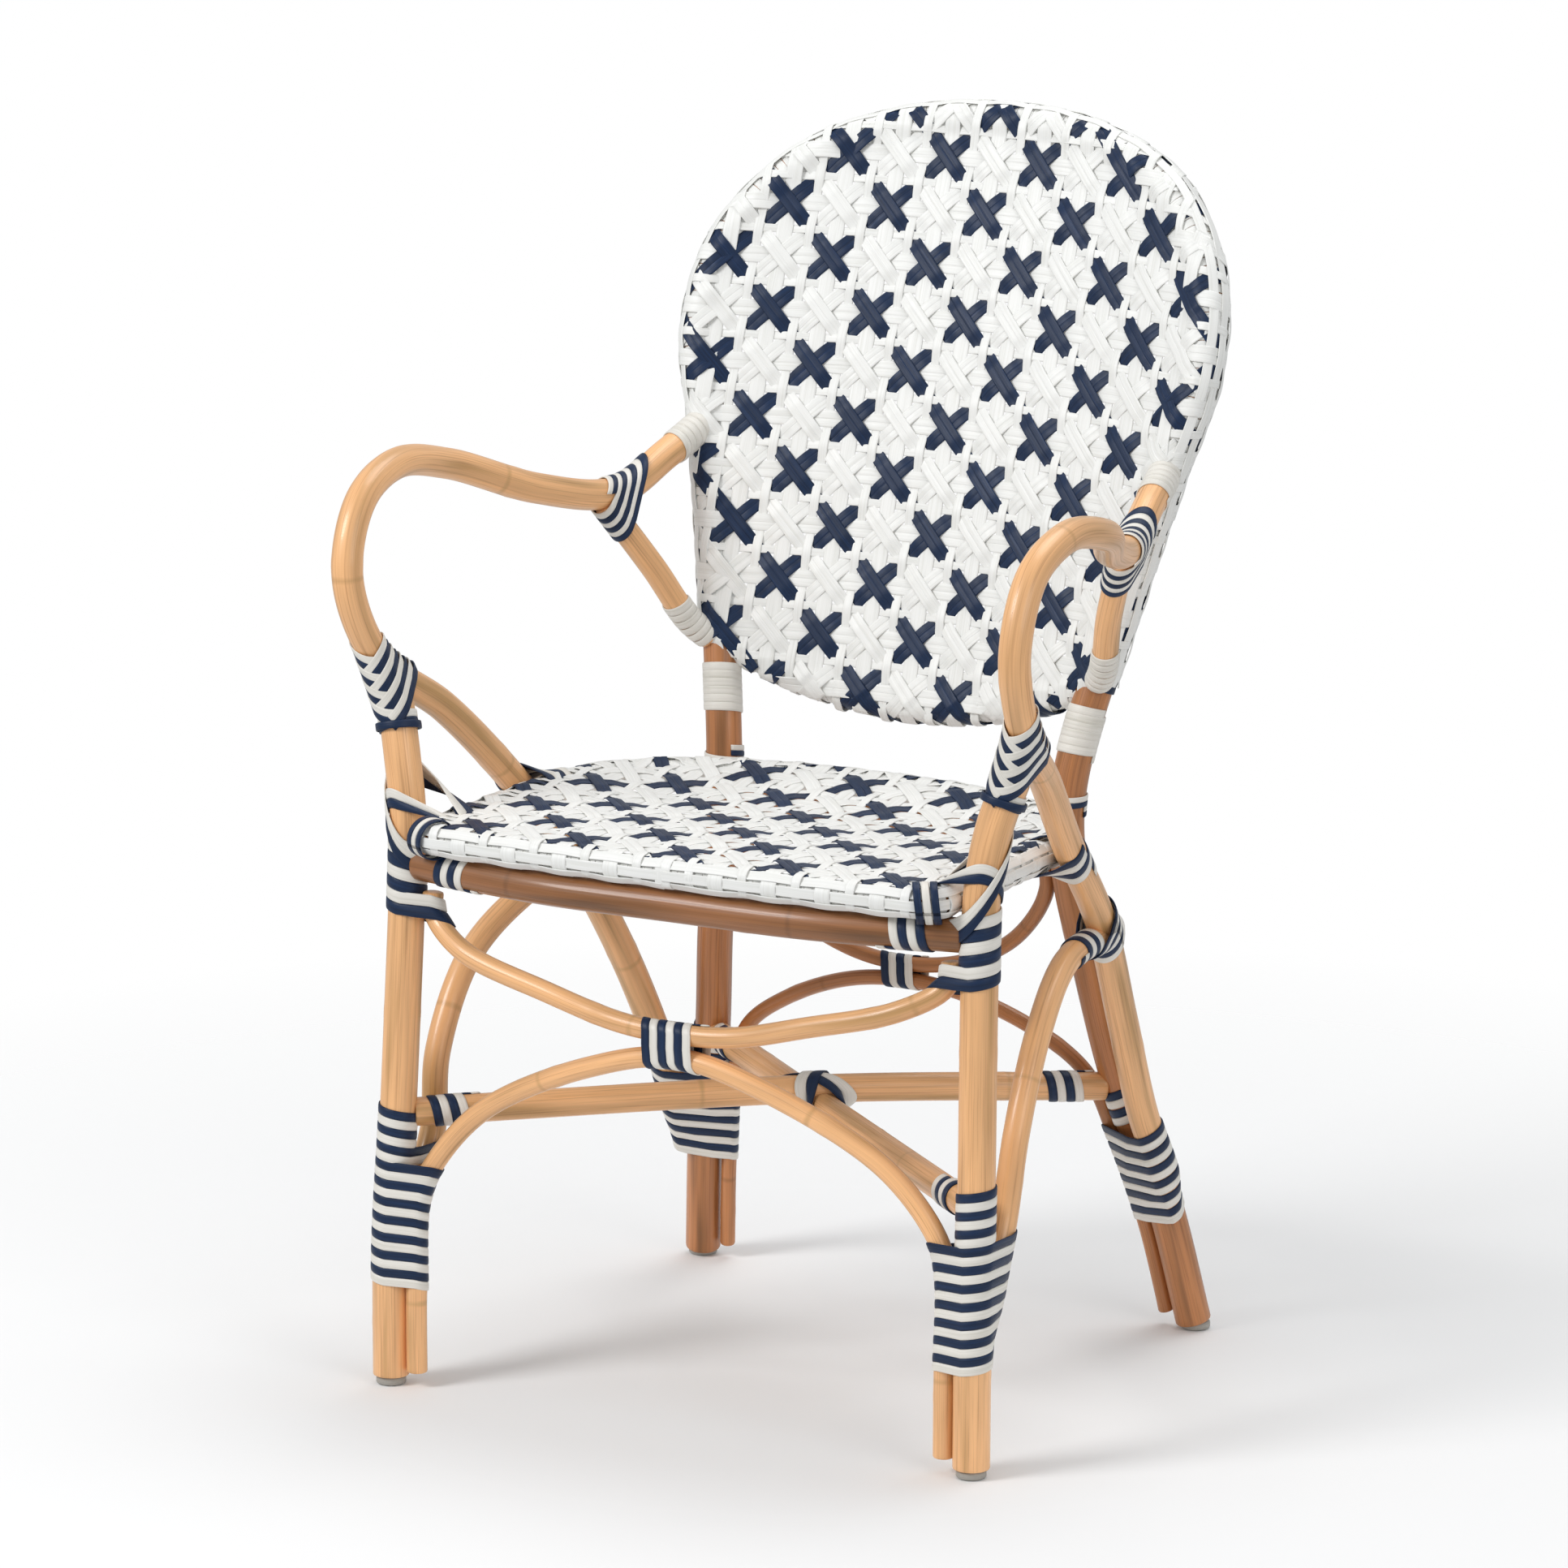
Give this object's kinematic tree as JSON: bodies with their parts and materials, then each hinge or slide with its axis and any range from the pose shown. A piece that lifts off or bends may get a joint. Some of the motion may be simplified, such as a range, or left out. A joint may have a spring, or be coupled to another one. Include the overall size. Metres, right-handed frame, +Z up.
{
  "type": "rattan bistro armchair",
  "caption": "Bent-pole rattan bistro armchair with a rounded woven back, a woven seat and two-colour strip bindings.",
  "frame": {"origin": "middle of the bounding box on the floor", "axes": "+X to the right of someone who faces the chair, +Y to its back, +Z up"},
  "size_m": [0.5942, 0.5642, 0.9324],
  "materials": {
    "rattan": "varnished",
    "dark_rattan": "varnished",
    "weave": "satin",
    "two_colour_strip": "satin",
    "white_strip": "satin",
    "glide": "satin"
  },
  "bodies": {
    "root": {"arch_top_wrap_left": "two_colour_strip", "arch_top_wrap_right": "two_colour_strip", "arm_back_binding_left": "two_colour_strip", "arm_back_binding_right": "two_colour_strip", "arm_end_wrap_left": "white_strip", "arm_end_wrap_right": "white_strip", "arm_front_binding_left": "two_colour_strip", "arm_front_binding_right": "two_colour_strip", "arm_pole_left": "rattan", "arm_pole_right": "rattan", "arm_prop_left": "dark_rattan", "arm_prop_right": "dark_rattan", "back_bottom_rail": "dark_rattan", "back_hoop": "dark_rattan", "corner_wrap_left": "white_strip", "corner_wrap_right": "white_strip", "diagonal_a": "rattan", "diagonal_a_front_wrap": "two_colour_strip", "diagonal_a_rear_wrap": "two_colour_strip", "diagonal_b": "rattan", "diagonal_b_front_wrap": "two_colour_strip", "diagonal_b_rear_wrap": "two_colour_strip", "diagonal_cross_lashing": "two_colour_strip", "front_arch_stretcher": "rattan", "front_bow_stretcher": "rattan", "front_centre_binding": "two_colour_strip", "front_leg_left": "rattan", "front_leg_right": "rattan", "front_rail": "dark_rattan", "front_rail_wrap_left": "two_colour_strip", "front_rail_wrap_right": "two_colour_strip", "glide_front_left": "glide", "glide_front_right": "glide", "glide_rear_left": "glide", "glide_rear_right": "glide", "leg_low_binding_left": "two_colour_strip", "leg_low_binding_right": "two_colour_strip", "leg_top_binding_left": "two_colour_strip", "leg_top_binding_right": "two_colour_strip", "post_lashing_left": "two_colour_strip", "post_lashing_right": "two_colour_strip", "prop_end_wrap_left": "white_strip", "prop_end_wrap_right": "white_strip", "rear_arch_stretcher": "dark_rattan", "rear_bow_stretcher": "dark_rattan", "rear_centre_binding": "two_colour_strip", "rear_leg_binding_left": "two_colour_strip", "rear_leg_binding_right": "two_colour_strip", "rear_rail": "dark_rattan", "seat_brace_lashing_left": "two_colour_strip", "seat_brace_lashing_right": "two_colour_strip", "seat_leg_lashing_left": "two_colour_strip", "seat_leg_lashing_right": "two_colour_strip", "seat_ring": "dark_rattan", "side_arch_left": "rattan", "side_arch_right": "rattan", "woven_back": "weave", "woven_seat": "weave"}
  },
  "joints": []
}
